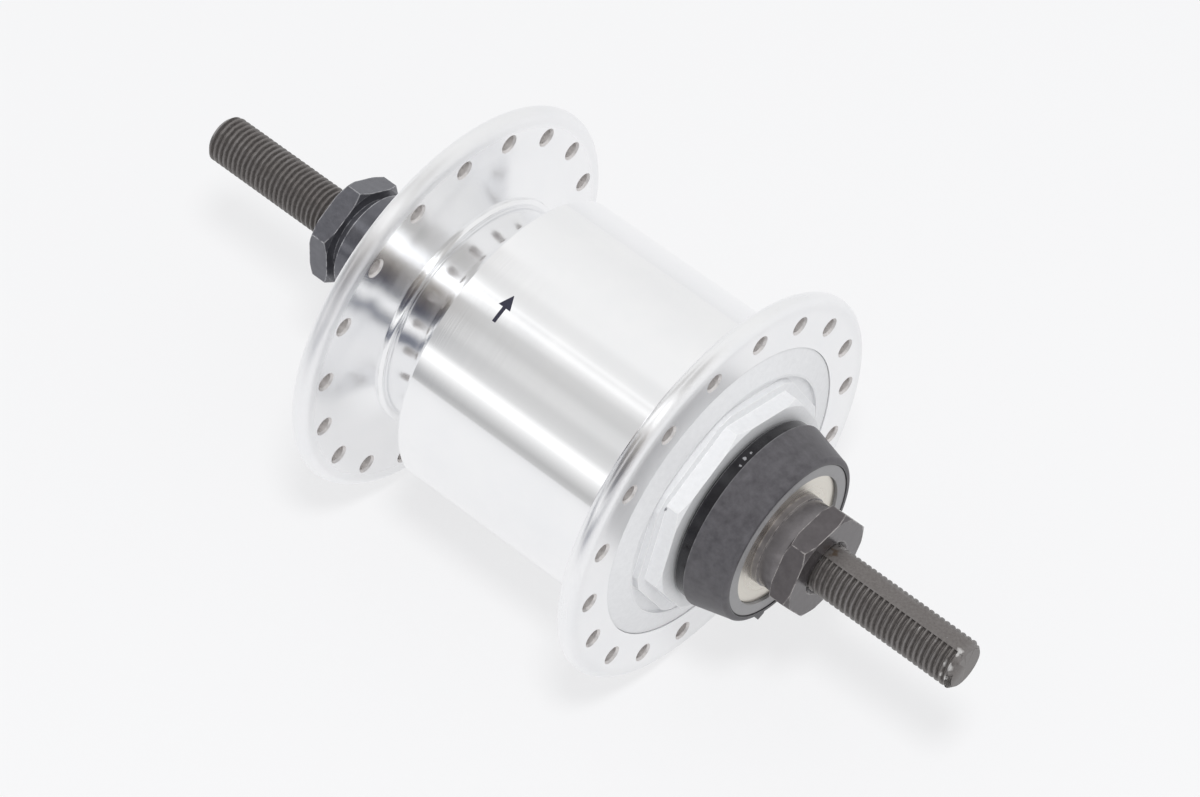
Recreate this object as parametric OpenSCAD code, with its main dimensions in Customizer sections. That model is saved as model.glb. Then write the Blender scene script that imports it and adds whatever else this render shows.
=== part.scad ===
// Bicycle hub dynamo: a front hub with a claw-pole generator inside its barrel.
// The axle lies along Y with the connector at the -Y end. X points forward and Z up.
// All sizes are in millimetres.

/* [Overall] */
// Distance between the outer faces of the locknuts
old = 96; // [80:0.5:116]
// Whole length of the axle
axle_len = 148; // [136:0.5:180]
// Diameter over the axle thread
axle_d = 7.94; // [7:0.01:9.6]
// Diameter of the hub barrel
barrel_d = 49.6; // [45:0.1:60]

/* [Flanges] */
// Height of a flange above the barrel
flange_rise = 8.6; // [8:0.1:11]
// Thickness of each flange
flange_t = 3; // [2.5:0.1:3.6]
// Distance from the flange rim to the spoke-hole circle
spoke_edge = 4.4; // [3.6:0.1:5]
// Number of spoke holes in each flange
spoke_count = 18; // [12:1:20]
// Diameter of a spoke hole
spoke_hole_d = 2.6; // [2.2:0.1:3]
// Turn of the spoke holes in the right flange
right_spoke_turn = 14.26; // [0:0.01:20]
// Turn of the spoke holes in the left flange
left_spoke_turn = 4.23; // [0:0.01:20]
// Distance from the right locknut face to the right flange face
right_flange_inset = 20.3; // [20:0.1:24]
// Distance from the left locknut face to the left flange face
left_flange_inset = 19.9; // [18.5:0.1:24]

/* [Shell] */
// Wall of the barrel
wall_t = 1.9; // [1.6:0.1:2.6]
// End wall of the barrel beside the neck
end_wall_t = 2.5; // [2:0.1:4]
// Diameter of the neck before the left flange
neck_d = 37; // [34:0.1:38]
// Length of the neck up to the left flange
neck_len = 10.6; // [9.6:0.1:14]
// Bore of the neck
neck_bore_d = 29; // [26:0.1:30]
// Diameter of the shell end outside the left flange
shell_end_d = 29.2; // [27.6:0.1:30]

/* [Bearings] */
// Diameter of a bearing ball
ball_d = 4.76; // [4:0.01:5.8]
// Radius of the circle that the ball centres run on
ball_path_r = 9; // [8.8:0.05:9.6]
// Balls in each bearing
ball_count = 9; // [7:1:9]

/* [End cap] */
// Distance from the cap rim to a flat of the eight-sided boss
boss_inset = 7.9; // [7.4:0.1:9]
// Height of the boss face above the flange face
boss_rise = 4; // [3.8:0.1:5]
// Depth of the threaded skirt below the cap disc
skirt_len = 7; // [4:0.1:7.2]

/* [Connector] */
// Length of the connector body
connector_len = 6.65; // [6.6:0.05:8]
// Diameter of the connector body at its rear
connector_d = 31.6; // [30:0.1:34]
// Diameter of the connector body at its front
connector_front_d = 28.6; // [27.6:0.1:29.4]
// Thickness of the black dust ring
dust_ring_t = 2.2; // [1.8:0.1:3]
// Diameter of the black dust ring
dust_ring_d = 30.8; // [28:0.1:32]

/* [Locknuts and spacers] */
// Width across the flats of a locknut
nut_af = 16; // [15:0.1:17]
// Thickness of a locknut
nut_t = 3.6; // [3:0.1:4.2]
// Thickness of the right washer
right_washer_t = 1; // [0.8:0.1:1.6]
// Thickness of the left washer
left_washer_t = 1.7; // [1:0.1:2.2]
// Diameter of the left spacer
left_spacer_d = 16.4; // [15:0.1:17]
// Diameter of the right spacer
right_spacer_d = 15; // [14:0.1:16]

/* [Generator] */
// Thickness of the magnet segments
magnet_t = 2.2; // [1.8:0.1:2.8]
// Thickness of the steel ring behind the magnets
yoke_t = 1.55; // [1.2:0.05:2]
// Gap between the magnets and the claws
air_gap = 0.5; // [0.3:0.05:0.8]
// Claws on each pole stack
claw_count = 14; // [10:1:16]
// Thickness of a claw
claw_t = 2; // [1.6:0.1:2.4]
// Width of a claw
claw_w = 2.6; // [2:0.1:2.8]
// Diameter of a lead wire
wire_d = 0.85; // [0.6:0.05:0.9]

/* [Hidden] */
fit = 0.025;
running = 0.05;
apart = 0.3;
cut = 1;
axle_r = axle_d / 2;
axle_bore = axle_r + fit;
barrel_r = barrel_d / 2;
flange_r = barrel_r + flange_rise;
spoke_r = flange_r - spoke_edge;
rim_round = flange_t / 2;
bore_r = barrel_r - wall_t;
right_end = -old / 2;
left_end = old / 2;
right_flange_y = right_end + right_flange_inset;
left_flange_y = left_end - left_flange_inset;
left_inner_y = left_flange_y - flange_t;
barrel_end = left_inner_y - neck_len;
inner_wall_y = barrel_end - end_wall_t;
edge = 0.7;
neck_r = neck_d / 2;
shoulder = min(3.5, barrel_r - edge - neck_r - 0.4);
flare_end_r = spoke_r - 1.5;
flare_r = 16.8;
ridge_r = 0.9;

ball_r = ball_d / 2;
groove_r = ball_r + running;
cup_r = ball_path_r + ball_r + 0.62;
race_r = ball_path_r + groove_r + 0.02;
cone_r = ball_path_r - 0.8;
nose_r = ball_path_r - groove_r - 0.07;
cup_in = groove_r + 0.97;
cup_out = ball_r + 0.12;
left_ball_y = left_flange_y + 3.9;
right_ball_y = right_flange_y + 0.3;
shell_tip = left_ball_y + cup_out;
seat_end = left_ball_y - cup_in;
cone_tip = left_ball_y + 7;

cap_r = bore_r + 2.1;
recess_floor = right_flange_y + 2.1;
gasket_t = 0.4;
cap_back = recess_floor - gasket_t;
boss_face = right_flange_y - boss_rise;
boss_af = 2 * (cap_r - boss_inset);
boss_corner = boss_af / 2 / cos(22.5);
collar_corner = (boss_af / 2 + 1.75) / cos(22.5);
collar_r = min(boss_corner + 1.4, cap_r - 4.6);
cap_cup_y = right_ball_y - cup_out;
seal_bore = cone_r + 2.2;
seal_end = cap_cup_y - 0.1;

dust_back = boss_face - apart;
conn_rear = dust_back - dust_ring_t;
conn_front = conn_rear - connector_len;
conn_r = connector_d / 2;
conn_front_r = connector_front_d / 2;
conn_round = 0.7;
lip_r = conn_front_r - 1.05;
plate_face = conn_front + 0.65;
plate_t = 0.6;
plate_r = lip_r - 2.1;
seat_y = plate_face + plate_t;
inset_face = conn_front + 0.15;
pocket_front = seat_y + 0.6;
pocket_rear = conn_rear - 0.6;
pocket_w = 10;
pocket_top = -9.5;
chamber_top = -7.9;
blade_x = 3.35;
blade_t = 0.8;
blade_w = 2.2;
blade_y = (pocket_front + pocket_rear) / 2;
washer_y = plate_face - right_washer_t;

yoke_r = bore_r - running;
magnet_r = yoke_r - yoke_t - fit;
magnet_bore = magnet_r - magnet_t;
claw_r = magnet_bore - air_gap;
claw_in = claw_r - claw_t;
stator_y0 = right_flange_y + 10.2;
stator_y1 = inner_wall_y - 5.5;
disc_t = 1.45;
core_r = axle_r + 4.03;
bobbin_y0 = stator_y0 + disc_t + running;
bobbin_y1 = stator_y1 - disc_t - running;
bobbin_r = claw_in - 0.6;
bobbin_wall = 0.95;
winding_r = bobbin_r - 0.8;
lead_r = core_r + 3;
groove_w = 2.2;
groove_floor = axle_r - 1.3;
wire_z = groove_floor + wire_d / 2 + 0.08;
wire_x = 0.52;
stator_nut_af = 13;
sink = 0.6;

// Turns a form made along Z so that it lies along Y
module along_y() {
    rotate([-90, 0, 0]) children();
}

// A form turned about the axle from a section of radius and place on Y
module turned() {
    along_y() rotate_extrude() children();
}

// A plain ring between two places on Y
module ring(r_out, r_in, y0, y1) {
    turned() translate([r_in, y0]) square([r_out - r_in, y1 - y0]);
}

// Children repeated round the axle, counted from +X towards +Z
module round_axle(count, turn, y) {
    along_y() for (i = [0:count - 1]) {
        rotate([0, 0, -turn - i * 360 / count]) translate([0, 0, y]) children();
    }
}

// A hexagonal nut from y0 to y1, chamfered and countersunk on both faces
module hex_nut(af, hole_r, y0, y1, turn) {
    corner = af / sqrt(3);
    face = af / 2 + 0.3;
    depth = (corner - face) * tan(32);
    difference() {
        intersection() {
            along_y() rotate([0, 0, -turn]) translate([0, 0, y0]) cylinder(r = corner, h = y1 - y0, $fn = 6);
            turned() polygon([[0, y0], [face, y0], [corner + 0.1, y0 + depth],
                [corner + 0.1, y1 - depth], [face, y1], [0, y1]]);
        }
        turned() polygon([[0, y0 - cut], [hole_r + sink + cut, y0 - cut], [hole_r, y0 + sink],
            [hole_r, y1 - sink], [hole_r + sink + cut, y1 + cut], [0, y1 + cut]]);
    }
}

// The section of a flange with a full round rim, from y0 towards +Y
module flange_section(y0) {
    translate([0, y0]) square([flange_r - rim_round, flange_t]);
    translate([flange_r - rim_round, y0 + rim_round]) circle(r = rim_round);
}

// Spoke holes with a light countersink on both faces of the flange at y0
module spoke_holes(y0, turn) {
    hole_r = spoke_hole_d / 2;
    round_axle(spoke_count, turn, y0) translate([spoke_r, 0, 0]) {
        translate([0, 0, -cut]) cylinder(r = hole_r, h = flange_t + 2 * cut);
        translate([0, 0, -0.05]) cylinder(r1 = hole_r + 0.35, r2 = hole_r, h = 0.4);
        translate([0, 0, flange_t - 0.35]) cylinder(r1 = hole_r, r2 = hole_r + 0.35, h = 0.4);
    }
}

// The solid half section of the shell before its bores
module shell_outline() {
    flange_section(right_flange_y);
    flange_section(left_inner_y);
    polygon([[0, right_flange_y], [barrel_r, right_flange_y], [barrel_r, barrel_end - edge],
        [barrel_r - edge, barrel_end], [0, barrel_end]]);
    translate([0, barrel_end - cut]) square([neck_r, neck_len + 2 * cut]);
    difference() {
        translate([neck_r - 0.5, barrel_end - 0.5]) square([shoulder + 0.5, shoulder + 0.5]);
        translate([neck_r + shoulder, barrel_end + shoulder]) circle(r = shoulder);
    }
    translate([neck_r + 0.45, left_inner_y - 2.3]) circle(r = ridge_r);
    difference() {
        translate([neck_r - 0.5, left_inner_y - 3]) square([flare_end_r - neck_r + 0.5, 3.5]);
        translate([flare_end_r, left_inner_y - flare_r]) circle(r = flare_r);
    }
    polygon([[0, left_flange_y - cut], [shell_end_d / 2, left_flange_y - cut],
        [shell_end_d / 2, shell_tip - 0.4], [shell_end_d / 2 - 0.4, shell_tip], [0, shell_tip]]);
}

// Forged and turned shell with both flanges, the barrel and the neck in one piece
module hub_shell() {
    color([0.78, 0.79, 0.81]) difference() {
        turned() difference() {
            shell_outline();
            translate([0, right_flange_y - cut])
                square([cap_r + running, recess_floor - right_flange_y + cut]);
            translate([0, recess_floor - cut]) square([bore_r, inner_wall_y - recess_floor + cut]);
            translate([0, inner_wall_y - cut])
                square([neck_bore_d / 2, seat_end - 2.6 - inner_wall_y + cut]);
            translate([0, seat_end - 3]) square([cup_r - 1, 4]);
            translate([0, seat_end]) square([cup_r + fit, shell_tip - seat_end + cut]);
        }
        spoke_holes(right_flange_y, right_spoke_turn);
        spoke_holes(left_inner_y, left_spoke_turn);
    }
}

// Half section of the cap without its boss
module cap_outline() {
    polygon([[0, cap_back], [cap_r, cap_back], [cap_r, right_flange_y + 0.2],
        [cap_r - 3.9, right_flange_y - 0.9], [cap_r - 4.3, right_flange_y - 0.9],
        [cap_r - 4.3, right_flange_y - 0.35], [0, right_flange_y - 0.35]]);
    translate([bore_r - 1.9, cap_back - cut]) square([1.87, skirt_len + cut]);
    translate([0, cap_back - cut]) square([cup_r + 3, right_ball_y + cup_in - cap_back + cut]);
}

// Screwed cap that closes the barrel and carries the right bearing cup. Its boss stands on a
// wider eight-sided collar
module end_cap() {
    color([0.74, 0.74, 0.76]) difference() {
        union() {
            turned() cap_outline();
            intersection() {
                along_y() rotate([0, 0, -93]) translate([0, 0, right_flange_y - 1.4])
                    cylinder(r = collar_corner, h = 1.4, $fn = 8);
                turned() translate([0, right_flange_y - 1.4]) square([collar_r, 1.4]);
            }
            intersection() {
                along_y() rotate([0, 0, -93]) translate([0, 0, boss_face])
                    cylinder(r = boss_corner, h = boss_rise - 0.5, $fn = 8);
                turned() polygon([[0, boss_face], [boss_af / 2 + 0.4, boss_face],
                    [boss_corner + 0.05, boss_face + 0.5], [boss_corner + 0.05, right_flange_y],
                    [0, right_flange_y]]);
            }
        }
        along_y() translate([0, 0, boss_face - cut]) cylinder(r = seal_bore, h = 20);
        along_y() translate([0, 0, cap_cup_y]) cylinder(r = cup_r + fit, h = 20);
    }
}

// Flat gasket between the cap disc and the floor of the shell's recess
module end_cap_gasket() {
    color([0.12, 0.12, 0.13]) ring(cap_r - 0.1, bore_r + 0.1, cap_back + 0.01, recess_floor - 0.01);
}

// Bearing cup at y0 that opens towards the side s
module bearing_cup(y0, s) {
    color([0.62, 0.63, 0.65]) turned() difference() {
        union() {
            translate([cone_r, min(y0 - s * cup_in, y0)]) square([cup_r - cone_r, cup_in]);
            translate([race_r, min(y0 - s, y0 + s * cup_out)]) square([cup_r - race_r, cup_out + 1]);
        }
        translate([ball_path_r, y0]) circle(r = groove_r);
    }
}

module left_bearing_cup() {
    bearing_cup(left_ball_y, 1);
}

module right_bearing_cup() {
    bearing_cup(right_ball_y, -1);
}

// Balls of one bearing
module balls(y0, turn) {
    color([0.85, 0.86, 0.88]) round_axle(ball_count, turn, y0)
        translate([ball_path_r, 0, 0]) sphere(r = ball_r);
}

module left_bearing_balls() {
    balls(left_ball_y, 10);
}

module right_bearing_balls() {
    balls(right_ball_y, 0);
}

// Thin ring with a pocket round each ball
module retainer(y0, s, turn) {
    near = 0.42 * ball_r;
    far = 0.92 * ball_r;
    low = min(y0 + s * near, y0 + s * far);
    color([0.55, 0.5, 0.4]) difference() {
        ring(race_r - apart, ball_path_r + 0.4, low, low + far - near);
        round_axle(ball_count, turn, y0) translate([ball_path_r, 0, 0]) sphere(r = ball_r + 0.08);
    }
}

module left_ball_retainer() {
    retainer(left_ball_y, 1, 10);
}

module right_ball_retainer() {
    retainer(right_ball_y, -1, 0);
}

// Half section of a cone from its nose to the place y1, with the ball track turned into it
module cone_section(y0, s, y1) {
    difference() {
        union() {
            translate([axle_bore, min(y0, y1)]) square([cone_r - axle_bore, abs(y1 - y0)]);
            translate([axle_bore, y0 - 0.75 - s * 0.75]) square([nose_r - axle_bore, 1.5]);
        }
        translate([ball_path_r, y0]) circle(r = groove_r);
    }
}

module left_cone() {
    color([0.5, 0.51, 0.53]) difference() {
        turned() cone_section(left_ball_y, 1, cone_tip);
        for (side = [-1, 1]) {
            translate([side * (cone_r + 4.3), cone_tip - 0.8, 0]) cube([10, 1.8, 30], center = true);
        }
    }
}

module right_cone() {
    color([0.5, 0.51, 0.53]) turned() cone_section(right_ball_y, -1, conn_rear);
}

// Pressed sheet cap over the left end of the shell
module left_dust_cap() {
    color([0.4, 0.41, 0.43]) {
        turned() union() {
            translate([cone_r + apart + 0.2, shell_tip + 0.01])
                square([shell_end_d / 2 + 0.6 - cone_r - apart - 0.2, 0.6]);
            translate([shell_end_d / 2 + fit, shell_tip - 1.5]) square([0.6 - fit, 1.6]);
        }
    }
}

// Fixed shield on the left cone, outside the rotating dust cap
module left_dust_shield() {
    color([0.16, 0.16, 0.17]) ring(cone_r + 3.3, cone_r + fit, shell_tip + 1, shell_tip + 2.1);
}

// Rubber lip ring in the bore of the end cap
module right_seal() {
    color([0.1, 0.1, 0.1]) ring(seal_bore - fit, cone_r + apart, boss_face + 0.6, seal_end);
}

// Black ring on the right cone that covers the joint with the cap
module dust_ring() {
    color([0.06, 0.06, 0.07]) turned() difference() {
        translate([cone_r + fit, conn_rear + 0.01])
            square([dust_ring_d / 2 - cone_r - fit, dust_ring_t - 0.01]);
        translate([dust_ring_d / 2, dust_back]) rotate(45) square([0.5, 0.5], center = true);
    }
}

// Moulded body of the socket, with a pocket that opens downwards
module connector_body() {
    color([0.17, 0.17, 0.18]) difference() {
        union() {
            turned() difference() {
                union() {
                    polygon([[axle_bore, conn_rear], [conn_r, conn_rear],
                        [conn_front_r, conn_front + conn_round],
                        [conn_front_r - conn_round, conn_front], [axle_bore, conn_front]]);
                    translate([conn_front_r - conn_round, conn_front + conn_round]) circle(r = conn_round);
                }
                translate([0, conn_front - cut]) square([lip_r, seat_y + 0.02 - conn_front + cut]);
            }
            along_y() rotate([0, 0, -245]) translate([0, 0, conn_front]) linear_extrude(1.4)
                polygon([[lip_r + 0.2, -1], [lip_r + 0.9, -1], [conn_front_r + 0.6, -0.1],
                    [conn_front_r + 0.6, 0.1], [lip_r + 0.9, 1], [lip_r + 0.2, 1]]);
        }
        translate([-pocket_w / 2, pocket_front, -20])
            cube([pocket_w, pocket_rear - pocket_front, 20 + pocket_top]);
        translate([-blade_x - 0.9, blade_y - blade_w / 2 - 0.1, chamber_top])
            cube([2 * blade_x + 1.8, blade_w + 0.2, -chamber_top]);
        for (side = [-1, 1]) {
            translate([side * (blade_x + blade_t / 2), blade_y, -8.5])
                cube([blade_t + 2 * fit, blade_w + 2 * fit, 4], center = true);
        }
    }
}

// Lighter ring let into the face of the connector body
module connector_inset_ring() {
    color([0.36, 0.36, 0.37]) ring(lip_r - 0.05, plate_r + 0.05, inset_face, seat_y);
}

// Nickel-plated plate under the right washer
module contact_plate() {
    color([0.8, 0.76, 0.68]) ring(plate_r, axle_bore, plate_face, seat_y);
}

// Two brass blades in the socket
module contact_blades() {
    color([0.8, 0.66, 0.35]) for (side = [-1, 1]) {
        translate([side * (blade_x + blade_t / 2), blade_y, -10.2])
            cube([blade_t, blade_w, 7.4], center = true);
    }
}

// One straight length of wire between two points, with a bead at its start
module wire_run(a, b) {
    d = b - a;
    len = norm(d);
    translate(a) {
        rotate([0, acos(d[2] / len), atan2(d[1], d[0])]) cylinder(r = wire_d / 2, h = len);
        sphere(r = wire_d / 2 + 0.03);
    }
}

// Two insulated wires from the coil through the groove of the axle to the blades
module lead_wires() {
    color([0.7, 0.2, 0.15]) for (side = [-1, 1]) {
        coil_end = [side * 0.9, bobbin_y0 + 0.5, -lead_r];
        turn_out = [side * 0.9, stator_y0 - 0.9, -lead_r];
        groove_in = [side * wire_x, stator_y0 - 0.9, -wire_z];
        groove_out = [side * wire_x, blade_y, -wire_z];
        clear_of_axle = [side * wire_x, blade_y, -axle_r - 0.7];
        blade = [side * (blade_x - 0.1 - wire_d / 2), blade_y, -7.2];
        wire_run(coil_end, turn_out);
        wire_run(turn_out, groove_in);
        wire_run(groove_in, groove_out);
        wire_run(groove_out, clear_of_axle);
        wire_run(clear_of_axle, blade);
        translate(blade) sphere(r = wire_d / 2 + 0.03);
    }
}

// Solid axle with a fixed collar, a thread relief under each locknut face, a wire groove below
// and a flat on the right end
module axle() {
    half = axle_len / 2;
    color([0.3, 0.3, 0.32]) difference() {
        union() {
            turned() polygon([[0, -half], [axle_r - edge, -half], [axle_r, -half + edge],
                [axle_r, half - edge], [axle_r - edge, half], [0, half]]);
            ring(axle_r + 1.6, axle_r - 1, stator_y0 - 2.2, stator_y0 - 0.02);
        }
        ring(axle_r + cut, axle_r - 0.4, right_end, right_end + 0.8);
        ring(axle_r + cut, axle_r - 0.4, left_end - 0.8, left_end);
        translate([-groove_w / 2, blade_y - 0.7, -axle_r - 5])
            cube([groove_w, stator_y0 - 0.02 - blade_y + 0.7, 5 + axle_r - groove_floor]);
        along_y() rotate([0, 0, -78]) translate([axle_r - 0.3, -5, -half - cut])
            cube([5, 10, half + cut + right_end + nut_t]);
    }
}

module left_locknut() {
    color([0.2, 0.21, 0.25]) hex_nut(nut_af, axle_bore, left_end - nut_t, left_end, 26.8);
}

module right_locknut() {
    color([0.24, 0.23, 0.23]) hex_nut(nut_af, axle_bore, right_end, right_end + nut_t, 0);
}

module left_washer() {
    color([0.15, 0.15, 0.16]) ring(6.5, axle_bore, left_end - nut_t - left_washer_t, left_end - nut_t);
}

module right_washer() {
    color([0.3, 0.3, 0.31]) ring(right_spacer_d / 2 + 0.2, axle_bore, washer_y, plate_face);
}

module left_spacer() {
    color([0.24, 0.23, 0.23]) ring(left_spacer_d / 2, axle_bore, cone_tip, left_end - nut_t - left_washer_t);
}

module right_spacer() {
    color([0.26, 0.25, 0.25]) ring(right_spacer_d / 2, axle_bore, right_end + nut_t, washer_y);
}

// Steel ring in the barrel that carries the flux behind the magnets
module magnet_yoke_ring() {
    color([0.42, 0.43, 0.45]) ring(yoke_r, yoke_r - yoke_t, stator_y0 - 1, stator_y1 + 2);
}

// Four curved magnet segments, many poles in each
module ring_magnets() {
    color([0.2, 0.2, 0.22]) difference() {
        ring(magnet_r, magnet_bore, stator_y0, stator_y1 + 1);
        for (a = [0:90:270]) {
            along_y() rotate([0, 0, a + 20]) translate([0, -0.3, stator_y0 - cut])
                cube([magnet_r + 5, 0.6, stator_y1 - stator_y0 + 2 * cut + 1]);
        }
    }
}

// Laminated iron tube inside the coil
module stator_core() {
    color([0.45, 0.45, 0.47]) ring(core_r, axle_bore, stator_y0, stator_y1);
}

// Two narrow holes for the wires, drilled from the face at y0 to the given depth
module wire_holes(y0, depth) {
    for (side = [-1, 1]) {
        along_y() translate([side * 0.9, lead_r, y0 - cut]) cylinder(r = wire_d / 2 + 0.06, h = depth + cut);
    }
}

// Moulded bobbin with two end discs
module coil_bobbin() {
    color([0.85, 0.84, 0.78]) difference() {
        turned() union() {
            translate([core_r + fit, bobbin_y0]) square([1, bobbin_y1 - bobbin_y0]);
            translate([core_r + fit, bobbin_y0]) square([bobbin_r - core_r - fit, bobbin_wall]);
            translate([core_r + fit, bobbin_y1 - bobbin_wall]) square([bobbin_r - core_r - fit, bobbin_wall]);
        }
        wire_holes(bobbin_y0, bobbin_wall - 0.05);
    }
}

// Enamelled copper winding as one solid body
module coil_winding() {
    color([0.72, 0.4, 0.2])
        ring(winding_r, core_r + 1 + 2 * fit, bobbin_y0 + bobbin_wall + fit, bobbin_y1 - bobbin_wall - fit);
}

// Disc at y0 with claws that run towards the side s
module claw_pole_stack(y0, y1, s, turn) {
    reach = abs(y1 - y0) - disc_t - 0.8;
    start = min(y0, y0 + s * reach);
    color([0.55, 0.56, 0.58]) {
        ring(claw_r, core_r + fit, min(y0, y0 + s * disc_t), max(y0, y0 + s * disc_t));
    }
    color([0.55, 0.56, 0.58]) intersection() {
        ring(claw_r, claw_in, min(y0, y1), max(y0, y1));
        round_axle(claw_count, turn, start)
            translate([claw_in - 1, -claw_w / 2, 0]) cube([claw_t + 2, claw_w, reach]);
    }
}

module left_claw_pole_stack() {
    claw_pole_stack(stator_y1, stator_y0, -1, 180 / claw_count);
}

module right_claw_pole_stack() {
    difference() {
        claw_pole_stack(stator_y0, stator_y1, 1, 0);
        color([0.55, 0.56, 0.58]) wire_holes(stator_y0, disc_t + cut);
    }
}

module stator_washer() {
    color([0.5, 0.5, 0.52]) ring(core_r + 1, axle_bore, stator_y1 + 0.01, stator_y1 + 1.5);
}

module stator_nut() {
    color([0.35, 0.35, 0.37]) hex_nut(stator_nut_af, axle_bore, stator_y1 + 1.51, stator_y1 + 4.5, 15);
}

axle();
left_locknut();
right_locknut();
left_washer();
right_washer();
left_spacer();
right_spacer();
left_cone();
right_cone();
left_bearing_cup();
right_bearing_cup();
left_bearing_balls();
right_bearing_balls();
left_ball_retainer();
right_ball_retainer();
hub_shell();
end_cap();
end_cap_gasket();
left_dust_cap();
left_dust_shield();
right_seal();
dust_ring();
connector_body();
connector_inset_ring();
contact_plate();
contact_blades();
lead_wires();
magnet_yoke_ring();
ring_magnets();
stator_core();
coil_bobbin();
coil_winding();
left_claw_pole_stack();
right_claw_pole_stack();
stator_washer();
stator_nut();
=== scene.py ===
"""Looks for a bicycle hub dynamo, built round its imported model, in metres."""

import math

import bmesh
import bpy
import numpy as np
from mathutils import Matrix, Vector


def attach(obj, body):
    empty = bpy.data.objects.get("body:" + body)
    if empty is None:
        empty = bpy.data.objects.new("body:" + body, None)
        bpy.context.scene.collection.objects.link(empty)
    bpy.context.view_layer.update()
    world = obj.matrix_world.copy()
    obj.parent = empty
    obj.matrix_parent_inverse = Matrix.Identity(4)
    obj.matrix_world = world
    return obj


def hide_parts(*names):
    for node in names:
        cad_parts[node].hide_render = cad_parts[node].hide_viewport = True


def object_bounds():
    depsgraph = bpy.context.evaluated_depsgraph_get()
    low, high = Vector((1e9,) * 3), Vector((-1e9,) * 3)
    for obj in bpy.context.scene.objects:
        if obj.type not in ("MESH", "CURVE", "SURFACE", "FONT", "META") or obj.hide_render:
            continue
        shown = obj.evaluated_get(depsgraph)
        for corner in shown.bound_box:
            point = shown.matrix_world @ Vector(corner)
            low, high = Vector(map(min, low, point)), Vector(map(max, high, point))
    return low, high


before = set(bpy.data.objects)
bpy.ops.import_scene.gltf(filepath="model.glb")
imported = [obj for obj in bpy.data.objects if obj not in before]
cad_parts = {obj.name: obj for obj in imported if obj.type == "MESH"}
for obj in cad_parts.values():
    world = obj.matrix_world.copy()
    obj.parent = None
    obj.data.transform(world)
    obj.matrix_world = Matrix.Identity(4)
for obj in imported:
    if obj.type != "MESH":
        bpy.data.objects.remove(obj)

cad_box = [list(corner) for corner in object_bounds()]
scene = bpy.context.scene
scene.view_settings.view_transform = "Standard"

# Camera
# A long lens looks down on the hub from above its right end, a little to the rear.
# The whole axle runs across the picture from the far upper left to the near lower right.
camera_place = Vector((-0.31587, -0.28479, 0.57567))
camera_aim = Vector((0.00136, -0.00285, -0.00065))
camera_data = bpy.data.cameras.new("hub_camera")
camera_data.lens = 144.03
camera_data.sensor_width = 36.0
camera_data.clip_end = 20.0
camera = bpy.data.objects.new("hub_camera", camera_data)
camera.location = camera_place
camera.rotation_euler = (camera_aim - camera_place).to_track_quat("-Z", "Y").to_euler()
scene.collection.objects.link(camera)
scene.camera = camera


# Light tent
# The hub stands in a pale tent. Its roof is white in front, has two thin tubes overhead, turns
# grey towards the rear, and has a bright gap low at the rear. Behind the camera it is dark, but
# for one white card that the barrel mirrors.
def add(tree, kind, *inputs, **options):
    """Puts one shader node into the tree, sets its options, and feeds its sockets in order.

    Each input is another node's output, a plain value, or None to leave the socket alone.
    """
    node = tree.nodes.new(kind)
    for name, value in options.items():
        setattr(node, name, value)
    for place, source in enumerate(inputs):
        if isinstance(source, bpy.types.NodeSocket):
            tree.links.new(source, node.inputs[place])
        elif source is not None:
            node.inputs[place].default_value = source
    return node


def reckon(tree, operation, *inputs, **options):
    """The result of one Math node on its inputs."""
    return add(tree, "ShaderNodeMath", *inputs, operation=operation, **options).outputs[0]


def between(tree, mask, low, high, start=0.0, end=1.0):
    """A number that runs from low to high while the mask runs from start to end, and no further."""
    return add(tree, "ShaderNodeMapRange", mask, start, end, low, high).outputs[0]


def noise(tree, place, scale, detail=2.0, roughness=0.5):
    """Noise over a place in space, of that many cells to a metre. The socket left alone is W."""
    node = add(tree, "ShaderNodeTexNoise", place, None, scale, detail, roughness, noise_dimensions="3D")
    return node.outputs["Fac"]


def ramp(tree, source, marks):
    """A colour ramp over the source, from pairs of place and grey level or colour."""
    node = add(tree, "ShaderNodeValToRGB", source)
    stops = node.color_ramp.elements
    while len(stops) > 1:
        stops.remove(stops[-1])
    for number, (place, value) in enumerate(marks):
        stop = stops[0] if number == 0 else stops.new(place)
        stop.position = place
        stop.color = (*((value,) * 3 if isinstance(value, float) else value), 1.0)
    return node.outputs["Color"]


def tinted(tree, mask, first, second):
    """The first colour where the mask is 0 and the second where it is 1, mixed evenly between.

    Each colour is a triple or another node's output.
    """
    node = add(tree, "ShaderNodeMix", mask, data_type="RGBA")
    for socket, colour in ((node.inputs[6], first), (node.inputs[7], second)):
        if isinstance(colour, bpy.types.NodeSocket):
            tree.links.new(colour, socket)
        else:
            socket.default_value = (*colour, 1.0)
    return node.outputs[2]


def facing(angle):
    """The place in the turn round the axle of an angle in degrees, which is 0 forwards and 90 up:
    the angle past straight back, as a share of the whole turn."""
    return (angle + 180) / 360


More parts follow.
